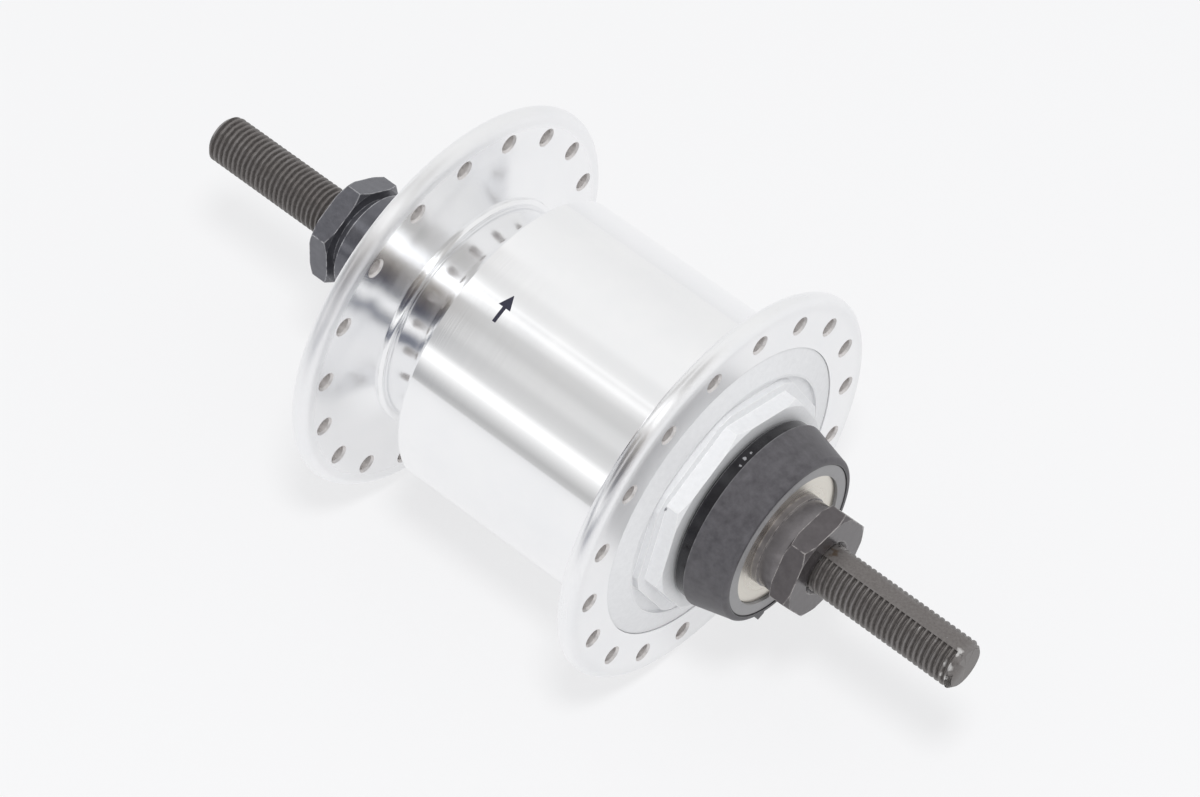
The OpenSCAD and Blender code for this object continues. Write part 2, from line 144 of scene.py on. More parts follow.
roof_peak = 1.3
roof_marks = [
    (-180, 0.60), (-90, 0.90), (-9, 0.93), (0, 0.90), (21, 0.90), (40, 0.93), (60, 0.96), (81, 0.97),
    (87, 0.89), (93, 0.89), (97, 0.94), (99, 1.10), (101, 0.92), (105, 1.12), (108, 0.90), (114, 0.70),
    (123, 0.66), (129, 0.77), (135, 0.79), (141, 0.69), (147, 0.72), (152, 0.80), (156, 1.15),
    (158, 1.3), (161, 1.3), (164, 1.0), (168, 0.82), (171, 0.70), (176, 0.52), (180, 0.60)]
tent = bpy.data.worlds.new("light_tent")
tent.use_nodes = True
tree = tent.node_tree
tree.nodes.clear()
direction = add(tree, "ShaderNodeTexCoord").outputs["Generated"]
part = add(tree, "ShaderNodeSeparateXYZ", direction).outputs
turn = between(tree, reckon(tree, "ARCTAN2", part["Z"], part["X"]), 0.0, 1.0, -math.pi, math.pi)
roof = ramp(tree, turn, [(facing(angle), level / roof_peak) for angle, level in roof_marks])
roof = add(tree, "ShaderNodeVectorMath", roof, operation="SCALE")
roof.inputs["Scale"].default_value = roof_peak
mirrored = roof.outputs["Vector"]

# The dark place behind the camera is brown-grey with pale patches, then brown, then navy
dark_marks = [(104, (0.26, 0.235, 0.22)), (122, (0.24, 0.21, 0.19)), (128, (0.12, 0.105, 0.10)),
              (138, (0.10, 0.09, 0.095)), (142, (0.05, 0.05, 0.075)), (152, (0.06, 0.07, 0.11))]
dark = ramp(tree, turn, [(facing(angle), colour) for angle, colour in dark_marks])
blot = between(tree, noise(tree, direction, 11.0, 1.0), 0.0, 1.0, 0.56, 0.62)
blot = reckon(tree, "MULTIPLY", blot, between(tree, turn, 1.0, 0.0, facing(122), facing(130)))
dark = tinted(tree, blot, dark, (0.75, 0.72, 0.64))

# Beside the card stand a grey band, a white one, a navy one and the dark place, each from the
# angle where it starts to the one where it is full, and from where it fades to where it ends
beside_card = reckon(tree, "ADD", between(tree, part["Y"], 1.0, 0.0, 0.08, 0.26),
                     between(tree, part["Y"], 0.0, 1.0, 0.425, 0.445))
for start, full, fade, end, strength, colour in (
        (65, 71, 91, 95, 0.8, (0.46, 0.45, 0.44)), (95, 101, 111, 115, 1.0, (1.75, 1.76, 1.78)),
        (166, 172, 199, 203, 1.0, (0.06, 0.075, 0.13)), (110, 117, 150, 155, 1.0, dark)):
    rising = between(tree, turn, 0.0, strength, facing(start), facing(full))
    falling = between(tree, turn, 1.0, 0.0, facing(fade), facing(end))
    band = reckon(tree, "MULTIPLY", reckon(tree, "MULTIPLY", beside_card, rising), falling)
    mirrored = tinted(tree, band, mirrored, colour)
ray = add(tree, "ShaderNodeLightPath").outputs
lighting = tinted(tree, ray["Is Glossy Ray"], (0.70, 0.705, 0.715), mirrored)
shown = tinted(tree, ray["Is Camera Ray"], lighting, (0.93, 0.93, 0.935))
sky = add(tree, "ShaderNodeBackground", shown, 1.0)
add(tree, "ShaderNodeOutputWorld", sky.outputs[0])
scene.world = tent

# One lamp high on the camera's side gives the floor its faint shadows
lamp_data = bpy.data.lights.new("high_lamp", "AREA")
lamp_data.shape = "DISK"
lamp_data.size = 0.18
lamp_data.energy = 4.2
lamp = bpy.data.objects.new("high_lamp", lamp_data)
lamp.location = Vector((-0.229, -0.271, 0.935)) * 0.95
lamp.rotation_euler = lamp.location.to_track_quat("Z", "Y").to_euler()
lamp.visible_glossy = False
scene.collection.objects.link(lamp)

# The floor is a pale sheet under the two flanges. It looks white and is mirrored white, and sends
# the hub no more light than the tent does.
floor_z = cad_box[0][2] - 0.0001
floor_reach = 3.0
floor_mesh = bpy.data.meshes.new("pale_floor")
floor_mesh.from_pydata([(-floor_reach, -floor_reach, floor_z), (floor_reach, -floor_reach, floor_z),
                        (floor_reach, floor_reach, floor_z), (-floor_reach, floor_reach, floor_z)],
                       [], [(0, 1, 2, 3)])
floor = bpy.data.objects.new("pale_floor", floor_mesh)
scene.collection.objects.link(floor)
sheet = bpy.data.materials.new("pale_sheet")
sheet.use_nodes = True
tree = sheet.node_tree
shader = tree.nodes["Principled BSDF"]
shader.inputs["Roughness"].default_value = 0.9
shader.inputs["Specular IOR Level"].default_value = 0.0
shader.inputs["Emission Strength"].default_value = 1.0
place = add(tree, "ShaderNodeTexCoord").outputs["Object"]
distance = add(tree, "ShaderNodeVectorMath", place, operation="LENGTH").outputs["Value"]
far_off = between(tree, distance, 0.0, 1.0, 0.35, 0.9)
sheet_colour = tinted(tree, far_off, (0.235, 0.235, 0.237), (0.21, 0.21, 0.212))
tree.links.new(sheet_colour, shader.inputs["Base Color"])
glow = tinted(tree, far_off, (0.675, 0.675, 0.68), (0.71, 0.71, 0.715))
lights_hub = add(tree, "ShaderNodeLightPath").outputs["Is Diffuse Ray"]
tree.links.new(tinted(tree, lights_hub, glow, (0.50, 0.50, 0.505)), shader.inputs["Emission Color"])
floor_mesh.materials.append(sheet)

# Axle
# One steel bar, 148 mm long, with a rolled thread at both ends, black oxide all over. The right
# end has a flat and the crests of the thread have worn bright.
axle_r = 0.00397
thread_root = 0.00337
thread_pitch = 0.0254 / 26
thread_start = 0.048
flat_distance = 0.00367
flat_turn = math.radians(78.0)
groove_floor = 0.00267
groove_turn = math.radians(270.0)
relief_r = axle_r - 0.0004
collar_r = axle_r + 0.0016
bar_end = 0.074
end_chamfer = 0.0007
around = np.sort(np.concatenate([
    np.radians(np.arange(0.0, 360.0, 3.75)),
    flat_turn + np.radians(np.array([-22.6, -22.4, 22.4, 22.6])),
    np.radians(np.array([252.4, 252.6, 287.4, 287.6]))]))
end_profile = np.array([
    (0.0437, axle_r), (0.0439, axle_r), (0.0472, axle_r), (0.0472, relief_r), (thread_start, relief_r),
    *[(place, axle_r) for place in np.arange(thread_start, bar_end, thread_pitch / 12)],
    (bar_end - end_chamfer, axle_r), (bar_end, axle_r - end_chamfer), (bar_end, 0.0)])
middle_profile = np.array([
    (-0.0379, axle_r), (-0.0377, axle_r), (-0.0197, axle_r), (-0.0197, collar_r), (-0.01755, collar_r),
    (-0.01755, axle_r), (-0.0174, axle_r), (0.0, axle_r)])
length, base = np.concatenate([end_profile[::-1] * (-1.0, 1.0), middle_profile, end_profile]).T


def threaded(angle, place):
    """Radius of a right-hand thread, whose phase runs one turn round the axle for each pitch along it.
    The ridge climbs straight to the middle of the phase and falls again, is cut off flat at root and
    crest, and eases between the two."""
    phase = (place / thread_pitch + angle / (2 * math.pi)) % 1.0
    ridge = np.clip(1.5 * (1.0 - np.abs(2.0 * phase - 1.0)) - 0.2, 0.0, 1.0)
    ridge = ridge * ridge * (3.0 - 2.0 * ridge)
    return thread_root + (axle_r - thread_root) * ridge


angles, places = np.meshgrid(around, length)
radii = np.repeat(base[:, None], len(around), axis=1)
in_thread = (np.abs(places) > thread_start + 0.00005) & (np.abs(places) < bar_end - 1e-6)
chamfer = axle_r - np.clip(np.abs(places) - (bar_end - end_chamfer), 0.0, None)
radii = np.where(in_thread, np.minimum(threaded(angles, places), chamfer), radii)
from_flat = (angles - flat_turn + math.pi) % (2 * math.pi) - math.pi
on_flat = (np.abs(from_flat) < math.radians(22.5)) & (places < -0.0438) & (radii > 0.0005)
radii = np.where(on_flat, np.minimum(flat_distance / np.cos(from_flat), chamfer), radii)
from_groove = angles - groove_turn
in_groove = (np.abs(from_groove) < math.radians(17.5)) & (places > -0.0378) & (places < -0.0175)
radii = np.where(in_groove, groove_floor / np.cos(from_groove), radii)
points = np.stack([radii * np.cos(angles), places, radii * np.sin(angles)], axis=-1).reshape(-1, 3)
number = np.arange(radii.size).reshape(radii.shape)
beside = np.roll(number, -1, axis=1)
quads = np.stack([number[:-1], number[1:], beside[1:], beside[:-1]], axis=-1).reshape(-1, 4)


def new_group(name, wanted, given):
    """An empty shader node group, its input's sockets and its output's. An input is a place in space
    where its value is a triple, and a number otherwise. Outputs are numbers."""
    made = bpy.data.node_groups.new(name, "ShaderNodeTree")
    for label, value in wanted:
        kind = "NodeSocketVector" if isinstance(value, tuple) else "NodeSocketFloat"
        socket = made.interface.new_socket(label, in_out="INPUT", socket_type=kind)
        socket.default_value = value
    for label in given:
        made.interface.new_socket(label, in_out="OUTPUT", socket_type="NodeSocketFloat")
    return made, made.nodes.new("NodeGroupInput").outputs, made.nodes.new("NodeGroupOutput").inputs


def finish(name, metallic, roughness):
    """A new material, its node tree and its Principled shader, with plain values on the sockets."""
    made = bpy.data.materials.new(name)
    made.use_nodes = True
    shader = made.node_tree.nodes["Principled BSDF"]
    shader.inputs["Metallic"].default_value = metallic
    shader.inputs["Roughness"].default_value = roughness
    return made, made.node_tree, shader


def group(tree, shared, *values):
    """Places a shared node group in a material with its own values in order, and returns its outputs."""
    node = tree.nodes.new("ShaderNodeGroup")
    node.node_tree = shared
    for place, value in enumerate(values):
        node.inputs[place].default_value = value
    return node.outputs


def bump(tree, shader, height, distance):
    """Feeds a height to the shader's normal through a Bump node of that depth in metres."""
    node = add(tree, "ShaderNodeBump")
    node.inputs["Strength"].default_value = 1.0
    node.inputs["Distance"].default_value = distance
    tree.links.new(height, node.inputs["Height"])
    tree.links.new(node.outputs["Normal"], shader.inputs["Normal"])


def from_axle(tree):
    """The place in object space, its distance along the axle from the hub's middle, and its distance
    from the axle, which is the length of the place without its part along the axle."""
    place = add(tree, "ShaderNodeTexCoord").outputs["Object"]
    part = add(tree, "ShaderNodeSeparateXYZ", place).outputs
    off_axle = add(tree, "ShaderNodeCombineXYZ", part["X"], 0.0, part["Z"]).outputs[0]
    radius = add(tree, "ShaderNodeVectorMath", off_axle, operation="LENGTH").outputs["Value"]
    return place, part["Y"], radius


def new_piece(name, points, faces, made, body, slot, *replaced, crease=30.0, lining=None, lined=0):
    """A mesh object with smooth faces and sharp creases, that rides and may replace. The slot is not used.

    The last faces, as many as lined says, take the lining material.
    """
    mesh = bpy.data.meshes.new(name)
    mesh.from_pydata(points, [], faces)
    mesh.materials.append(made)
    if lining:
        mesh.materials.append(lining)
        number = np.arange(len(faces))
        mesh.polygons.foreach_set("material_index", (number >= len(faces) - lined).astype(np.int32))
    work = bmesh.new()
    work.from_mesh(mesh)
    bmesh.ops.remove_doubles(work, verts=work.verts, dist=1e-7)
    bmesh.ops.dissolve_degenerate(work, edges=work.edges, dist=1e-8)
    bmesh.ops.recalc_face_normals(work, faces=work.faces)
    work.to_mesh(mesh)
    work.free()
    mesh.polygons.foreach_set("use_smooth", np.ones(len(mesh.polygons), bool))
    mesh.set_sharp_from_angle(angle=math.radians(crease))
    piece = bpy.data.objects.new(name, mesh)
    scene.collection.objects.link(piece)
    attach(piece, body)
    if replaced:
        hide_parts(*replaced)


# Fine grain: the even mottle of moulded plastic, oxide or cast metal
fine_grain, wanted, given = new_group("fine_grain", [("Grains per mm", 4.0), ("Contrast", 0.5)],
                                      ["Height", "Shade"])
place = add(fine_grain, "ShaderNodeTexCoord").outputs["Object"]
per_metre = reckon(fine_grain, "MULTIPLY", wanted["Grains per mm"], 1000.0)
grain = noise(fine_grain, place, per_metre, 4.0, 0.6)
fine_grain.links.new(grain, given["Height"])
centred = reckon(fine_grain, "ADD", grain, -0.5)
gain = reckon(fine_grain, "MULTIPLY", wanted["Contrast"], 4.0)
shade = reckon(fine_grain, "MULTIPLY_ADD", centred, gain, 0.5, use_clamp=True)
fine_grain.links.new(shade, given["Shade"])

# Specks: scattered small dots of dust, grease or bare metal
specks, wanted, given = new_group("specks", [("Specks per mm", 0.5), ("Size", 0.1), ("Share", 0.3)],
                                  ["Mask"])
place = add(specks, "ShaderNodeTexCoord").outputs["Object"]
cells = add(specks, "ShaderNodeTexVoronoi", place, feature="F1")
per_metre = reckon(specks, "MULTIPLY", wanted["Specks per mm"], 1000.0)
specks.links.new(per_metre, cells.inputs["Scale"])
picked = add(specks, "ShaderNodeSeparateColor", cells.outputs["Color"]).outputs[0]
picked = reckon(specks, "LESS_THAN", picked, wanted["Share"])
small = reckon(specks, "LESS_THAN", cells.outputs["Distance"], wanted["Size"])
specks.links.new(reckon(specks, "MULTIPLY", picked, small), given["Mask"])

# Spot: one grease mark, knock, crumb or dark spot at its own place, 1 in the middle and 0 from three
# quarters of its size away, with a ragged border
spot, wanted, given = new_group("spot", [("Centre", (0.0, 0.0, 0.0)), ("Size", 0.001)], ["Mask"])
place = add(spot, "ShaderNodeTexCoord").outputs["Object"]
away = add(spot, "ShaderNodeVectorMath", place, wanted["Centre"], operation="DISTANCE").outputs["Value"]
away = reckon(spot, "DIVIDE", away, wanted["Size"])
ragged = noise(spot, place, reckon(spot, "DIVIDE", 0.9, wanted["Size"]))
away = reckon(spot, "ADD", away, between(spot, ragged, -0.5, 0.5, 0.3, 0.7))
spot.links.new(between(spot, away, 1.0, 0.0, 0.45, 0.75), given["Mask"])

# Black oxide: a thin dark skin that shows bare steel on edges and crests, with a little grease
# beside the right nut and knocks near the right end
oxide_dark = (0.130, 0.118, 0.113)
oxide_light = (0.195, 0.182, 0.175)
bare_steel = (0.27, 0.26, 0.26)
knocked_steel = (0.62, 0.61, 0.60)
brown_grease = (0.10, 0.075, 0.055)
oxide_thread, tree, shader = finish("oxide_thread", 0.5, 0.4)
grain = group(tree, fine_grain, 2.5, 0.6)
skin = tinted(tree, grain["Shade"], oxide_dark, oxide_light)
place, along_axle, radius = from_axle(tree)
rubbed = between(tree, noise(tree, place, 260.0, 3.0), 0.0, 0.35, 0.42, 0.66)
crest = between(tree, radius, 0.0, 1.0, axle_r - 0.00016, axle_r - 0.00002)
crest = reckon(tree, "MULTIPLY", crest, rubbed)
end_rim = between(tree, reckon(tree, "ABSOLUTE", along_axle), 0.0, 1.0, bar_end - 0.0011, bar_end - 0.0006)
end_rim = reckon(tree, "MULTIPLY", end_rim, between(tree, radius, 0.0, 1.0, 0.0031, 0.0033))
end_rim = reckon(tree, "MULTIPLY", end_rim, rubbed)
worn = reckon(tree, "MAXIMUM", crest, end_rim)
worn = reckon(tree, "MAXIMUM", worn, group(tree, specks, 0.7, 0.12, 0.16)["Mask"])
skin = tinted(tree, worn, skin, bare_steel)
skin = tinted(tree, group(tree, spot, (0.0009, -0.0486, 0.0036), 0.0012)["Mask"], skin, brown_grease)
for knock, size in (((-0.0009, -0.0732, 0.0038), 0.0013), ((-0.0013, -0.0660, 0.0037), 0.0006),
                    ((-0.0029, -0.0731, 0.0026), 0.0011), ((-0.0037, -0.0729, 0.0009), 0.0011)):
    on_crest = between(tree, radius, 0.0, 0.85, axle_r - 0.0005, axle_r - 0.0001)
    knocked = reckon(tree, "MULTIPLY", group(tree, spot, knock, size)["Mask"], on_crest)
    skin = tinted(tree, knocked, skin, knocked_steel)
tree.links.new(skin, shader.inputs["Base Color"])
tree.links.new(between(tree, grain["Shade"], 0.32, 0.5), shader.inputs["Roughness"])
bump(tree, shader, grain["Height"], 0.00002)
new_piece("threaded_axle", points, quads, oxide_thread, "axle_assembly", "black_oxide_steel", "axle",
          crease=50.0)


# Stator
# A laminated iron tube on the axle carries a bobbin wound with enamelled copper, between two
# stacks of claw poles. A washer and a nut press them against the axle's collar.
def dress(made, *names):
    """Gives every slot of the named CAD nodes this material."""
    for name in names:
        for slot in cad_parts[name].material_slots:
            slot.material = made


def coat(tree, shader, pattern, first, second, smooth, rough, depth):
    """Lets one pattern drive a skin: the first colour and the smooth roughness where its shade is 0,
    the second colour and the rough one where it is 1, and its height as a bump of that depth."""
    tree.links.new(tinted(tree, pattern["Shade"], first, second), shader.inputs["Base Color"])
    tree.links.new(between(tree, pattern["Shade"], smooth, rough), shader.inputs["Roughness"])
    bump(tree, shader, pattern["Height"], depth)


# Lathe marks: fine rings round the axle on every turned face, from noise over radius and length
lathe_marks, wanted, given = new_group("lathe_marks", [("Marks per mm", 3.0), ("Patchiness", 0.5)],
                                       ["Height", "Shade"])
place, along_axle, radius = from_axle(lathe_marks)
section = add(lathe_marks, "ShaderNodeCombineXYZ", radius, along_axle, 0.0).outputs[0]
marks = add(lathe_marks, "ShaderNodeTexNoise", section, noise_dimensions="2D")
per_metre = reckon(lathe_marks, "MULTIPLY", wanted["Marks per mm"], 1000.0)
lathe_marks.links.new(per_metre, marks.inputs["Scale"])
marks.inputs["Detail"].default_value = 3.0
centred = reckon(lathe_marks, "ADD", marks.outputs["Fac"], -0.5)
patchy = between(lathe_marks, noise(lathe_marks, place, 220.0), 0.0, 2.0, 0.3, 0.7)
patchy = reckon(lathe_marks, "ADD", patchy, -1.0)
patchy = reckon(lathe_marks, "MULTIPLY_ADD", patchy, wanted["Patchiness"], 1.0)
height = reckon(lathe_marks, "MULTIPLY", centred, patchy)
lathe_marks.links.new(height, given["Height"])
lathe_marks.links.new(reckon(lathe_marks, "MULTIPLY_ADD", height, 2.0, 0.5, use_clamp=True), given["Shade"])

lamination, tree, shader = finish("lamination_steel", 1.0, 0.42)
rings = group(tree, lathe_marks, 2.0, 0.2)
skin = tinted(tree, group(tree, fine_grain, 3.0, 0.5)["Shade"], (0.36, 0.36, 0.37), (0.5, 0.5, 0.51))
tree.links.new(skin, shader.inputs["Base Color"])
tree.links.new(between(tree, rings["Shade"], 0.35, 0.5), shader.inputs["Roughness"])
bump(tree, shader, rings["Height"], 0.00002)
dress(lamination, "stator_core", "left_claw_pole_stack", "right_claw_pole_stack", "stator_washer")

enamelled, tree, shader = finish("enamelled_copper", 0.9, 0.3)
place = add(tree, "ShaderNodeTexCoord").outputs["Object"]
strands = add(tree, "ShaderNodeTexWave", place, wave_type="BANDS", bands_direction="Y", wave_profile="SIN")
strands.inputs["Scale"].default_value = 900.0
strands.inputs["Distortion"].default_value = 0.6
tree.links.new(tinted(tree, strands.outputs["Fac"], (0.34, 0.12, 0.05), (0.66, 0.3, 0.14)),
               shader.inputs["Base Color"])
bump(tree, shader, strands.outputs["Fac"], 0.0001)
dress(enamelled, "coil_winding")

bobbin_nylon, tree, shader = finish("bobbin_nylon", 0.0, 0.5)
coat(tree, shader, group(tree, fine_grain, 1.5, 0.4), (0.68, 0.65, 0.56), (0.78, 0.76, 0.68),
     0.42, 0.55, 0.00002)
dress(bobbin_nylon, "coil_bobbin")

# Lead wires
# Two wires insulated in red plastic run from the coil through a hole in the right claw stack and
# along the axle's groove to the blades of the socket.
insulation, tree, shader = finish("wire_insulation", 0.0, 0.35)
coat(tree, shader, group(tree, fine_grain, 2.0, 0.4), (0.36, 0.03, 0.025), (0.5, 0.06, 0.05),
     0.3, 0.42, 0.00001)
dress(insulation, "lead_wires")

# Magnet ring
# Four curved ferrite segments are glued inside a mild steel ring that is pressed into the barrel.
# The ring is turned, and the other turned steel pieces have the same finish.
ferrite, tree, shader = finish("ground_ferrite", 0.25, 0.55)
coat(tree, shader, group(tree, fine_grain, 3.0, 0.6), (0.05, 0.05, 0.055), (0.11, 0.11, 0.12),
     0.48, 0.65, 0.00003)
dress(ferrite, "ring_magnets")

# Edge wear and painted edge highlight: where a rounded normal leaves the true one, broken up by noise. On
# the black oxide pieces the bright edges are partly a painted highlight
edge_wear_and_highlight, wanted, given = new_group("edge_wear_and_highlight", [("Width", 0.0003), ("Cover", 0.5)], ["Wear"])
rounded_normal = add(edge_wear_and_highlight, "ShaderNodeBevel", wanted["Width"], samples=6).outputs["Normal"]
true_normal = add(edge_wear_and_highlight, "ShaderNodeNewGeometry").outputs["Normal"]
likeness = add(edge_wear_and_highlight, "ShaderNodeVectorMath", rounded_normal, true_normal,
               operation="DOT_PRODUCT").outputs["Value"]
at_edge = between(edge_wear_and_highlight, likeness, 1.0, 0.0, 0.93, 0.995)
place = add(edge_wear_and_highlight, "ShaderNodeTexCoord").outputs["Object"]
covered = reckon(edge_wear_and_highlight, "ADD", noise(edge_wear_and_highlight, place, 900.0, 3.0), wanted["Cover"])
covered = between(edge_wear_and_highlight, covered, 0.0, 1.0, 0.85, 1.05)
edge_wear_and_highlight.links.new(reckon(edge_wear_and_highlight, "MULTIPLY", at_edge, covered), given["Wear"])

turned_steel, tree, shader = finish("turned_steel", 1.0, 0.3)
rings = group(tree, lathe_marks, 2.5, 0.4)
worn = group(tree, edge_wear_and_highlight, 0.0002, 0.5)
skin = tinted(tree, rings["Shade"], (0.42, 0.42, 0.43), (0.55, 0.55, 0.56))
tree.links.new(tinted(tree, worn["Wear"], skin, (0.72, 0.72, 0.72)), shader.inputs["Base Color"])
tree.links.new(between(tree, rings["Shade"], 0.26, 0.38), shader.inputs["Roughness"])
bump(tree, shader, rings["Height"], 0.00002)
dress(turned_steel, "magnet_yoke_ring", "stator_nut", "left_dust_cap")

# Hub shell
# Forged aluminium, turned all over and polished like a mirror: two round-edged flanges with
# eighteen countersunk spoke holes each, the barrel, and the neck with a ridge before the left
# flange. The outer face of the right flange is duller.
spoke_holes = 18
sector = 360.0 / spoke_holes
spoke_r, hole_r, sink_r, sink_deep = 29.0, 1.3, 1.606, 0.35
patch_low, patch_high = 26.7, 31.3
right_turn, left_turn = 0.51, 0.48
right_hole_turn, left_hole_turn = 14.26, 4.23
right_out, right_in, left_in, left_out = -27.7, -24.7, 25.1, 28.1
barrel, neck, bore = 24.8, 18.5, 22.9
flare_y, flare_r = 8.3, 16.8


def arc(r, y, radius, first, last, count):
    """Places (r, y) along an arc between two angles in degrees from outwards towards +Y."""
    angle = np.radians(np.linspace(first, last, count))
    return np.stack([r + radius * np.cos(angle), y + radius * np.sin(angle)], axis=-1)


def revolved(profile, first_turn, last_turn):
    """Points in millimetres and quads of a profile of (r, y) turned round the axle in 288 columns,
    whose start goes evenly from the first turn to the last along the profile."""
    profile = np.array(profile, float)
    start = np.linspace(first_turn, last_turn, len(profile))[:, None]
    angle = np.radians(start + 1.25 * np.arange(288))
    r, y = profile[:, :1], np.broadcast_to(profile[:, 1:], angle.shape)
    number = np.arange(angle.size).reshape(angle.shape)
    beside = np.roll(number, -1, axis=1)
    quads = np.stack([number[:-1], number[1:], beside[1:], beside[:-1]], axis=-1).reshape(-1, 4)
    return np.stack([r * np.cos(angle), y, r * np.sin(angle)], axis=-1).reshape(-1, 3), quads


# The border of one hole's sector of the flange: four sides of sixteen points, which lie on two
# circles round the axle and on the two radii beside the hole
side = np.linspace(-sector / 2, sector / 2, 17)[:16]
reach = np.linspace(patch_high, patch_low, 17)[:16]
border_r = np.concatenate([np.full(16, patch_high), reach, np.full(16, patch_low),
                           patch_high + patch_low - reach])
border_turn = np.radians(np.concatenate([side, np.full(16, sector / 2), -side, np.full(16, -sector / 2)]))
border = np.stack([border_r * np.cos(border_turn) - spoke_r, border_r * np.sin(border_turn)], axis=-1)
unit_circle = border / np.linalg.norm(border, axis=-1, keepdims=True)


def around_holes(rings, hole_turn, height):
    """Points in millimetres and quads of eighteen sets of rings of 64 points about the spoke holes,
    each given as places from the hole's centre, with their y taken from the height."""
    turn = np.radians(hole_turn + sector * np.arange(spoke_holes))[:, None, None]
    out, across = rings[None, :, :, 0] + spoke_r, rings[None, :, :, 1]
    x = out * np.cos(turn) - across * np.sin(turn)
    z = out * np.sin(turn) + across * np.cos(turn)
    points = np.stack([x, np.broadcast_to(height(np.hypot(x, z)), x.shape), z], axis=-1)
    number = np.arange(x.size).reshape(x.shape)
    beside = np.roll(number, -1, axis=2)
    quads = np.stack([number[:, :-1], number[:, 1:], beside[:, 1:], beside[:, :-1]], axis=-1)
    return points.reshape(-1, 3), quads.reshape(-1, 4)


def flange_face(hole_turn, height):
    """A flange's face between the hole edges and the borders of the eighteen sectors: rings that go
    from the edge's circle to the border by growing shares of the way."""
    share = np.array([0.0, 0.1, 0.27, 0.55, 1.0])[:, None, None]
    return around_holes(sink_r * unit_circle + share * (border - sink_r * unit_circle), hole_turn, height)


def hole_walls(hole_turn, first_y, last_y):
    """The walls of a flange's spoke holes: four circles, with a countersink between each outer pair."""
    radius = np.array([sink_r, hole_r, hole_r, sink_r])[:, None, None]
    depth = np.array([first_y, first_y + sink_deep, last_y - sink_deep, last_y])[None, :, None]
    return around_holes(radius * unit_circle, hole_turn, lambda r: depth)


def flare_height(r):
    """The y of the flare on the left flange's inner face: a circle's arc up to r 27.5, flat beyond."""
    return flare_y + np.sqrt(flare_r**2 - np.clip(27.5 - r, 0.0, None)**2)


right_rim = [(patch_high, right_out), *arc(31.9, -26.2, 1.5, -90, 90, 23), (patch_high, right_in)]
left_rim = [(patch_high, left_in), *arc(31.9, 26.6, 1.5, -90, 90, 23), (patch_high, left_out)]
outside = [
    (patch_low, right_in), *arc(25.3, -24.2, 0.5, -90, -180, 7), *[(barrel, y) for y in range(-23, 14, 3)],
    (barrel, 13.8), (24.1, 14.5), (23.0, 14.5), *arc(22.0, 18.0, 3.5, -90, -180, 13), (neck, 20.0),
    *arc(18.95, 22.8, 0.9, -120, 27.1, 16), *arc(27.5, flare_y, flare_r, 117.5, 92.73, 14)]
inside = [
    (patch_low, left_out), (20.0, left_out), (14.6, left_out), (14.6, 31.0), (14.6, 34.1), (14.2, 34.5),
    (12.025, 34.5), (12.025, 28.6), (11.0, 28.6), (11.0, 26.0), (14.5, 26.0), (14.5, 12.0), (bore, 12.0),
    (bore, -10.0), (bore, -25.6), (25.05, -25.6), (25.05, right_out), (patch_low, right_out)]
walls = [hole_walls(right_hole_turn, right_out, right_in), hole_walls(left_hole_turn, left_in, left_out)]
shell_parts = [
    revolved(right_rim, right_turn, right_turn), revolved(outside, right_turn, left_turn),
    revolved(left_rim, left_turn, left_turn), revolved(inside, left_turn, right_turn),
    flange_face(right_hole_turn, lambda r: np.full(r.shape, right_out)),
    flange_face(right_hole_turn, lambda r: np.full(r.shape, right_in)),
    flange_face(left_hole_turn, flare_height),
    flange_face(left_hole_turn, lambda r: np.full(r.shape, left_out)), *walls]
before = np.cumsum([0] + [len(some_points) for some_points, some_quads in shell_parts])
shell_points = np.concatenate([some_points * 0.001 for some_points, some_quads in shell_parts])
shell_faces = np.concatenate([some_quads + first
                              for (some_points, some_quads), first in zip(shell_parts, before)])

# Polish: rougher on the neck and beyond, on the flanges, on their rims, in smudges, on the right
# flange's outer face, which has no lathe marks and mirrors less, and on the flare
polished, tree, shader = finish("polished_aluminium", 1.0, 0.1)
rings = group(tree, lathe_marks, 4.0, 0.6)
smudge = group(tree, fine_grain, 0.12, 0.5)["Shade"]
skin = tinted(tree, smudge, (0.90, 0.905, 0.915), (0.935, 0.935, 0.94))
tree.links.new(skin, shader.inputs["Base Color"])
place, along_axle, radius = from_axle(tree)
off_outer_face = between(tree, along_axle, 0.0, 1.0, -0.0276, -0.0268)
rough = between(tree, reckon(tree, "MULTIPLY", rings["Shade"], off_outer_face), 0.05, 0.075)
for mask, low, high, start, end in (
        (along_axle, 0.0, 0.06, 0.0140, 0.0144), (radius, 0.0, 0.04, 0.0250, 0.0262),
        (radius, 0.0, 0.17, 0.0306, 0.0316), (smudge, 0.0, 0.03, 0.0, 1.0),
        (off_outer_face, 0.24, 0.0, 0.0, 1.0), (along_axle, 0.0, 0.04, 0.0205, 0.0215)):
    rough = reckon(tree, "ADD", rough, between(tree, mask, low, high, start, end))
tree.links.new(rough, shader.inputs["Roughness"])
tree.links.new(between(tree, off_outer_face, 0.72, 1.0), shader.inputs["Metallic"])
bump(tree, shader, reckon(tree, "MULTIPLY", rings["Height"], off_outer_face), 0.0000006)

hole_wall, tree, shader = finish("drilled_aluminium", 0.7, 0.45)
coat(tree, shader, group(tree, lathe_marks, 6.0, 0.3), (0.62, 0.595, 0.58), (0.80, 0.78, 0.77),
     0.4, 0.5, 0.00001)
new_piece("shell_surface", shell_points, shell_faces, polished, "rotating_shell", "polished_aluminium",
          "hub_shell", crease=32.0, lining=hole_wall, lined=sum(len(quads) for points, quads in walls))

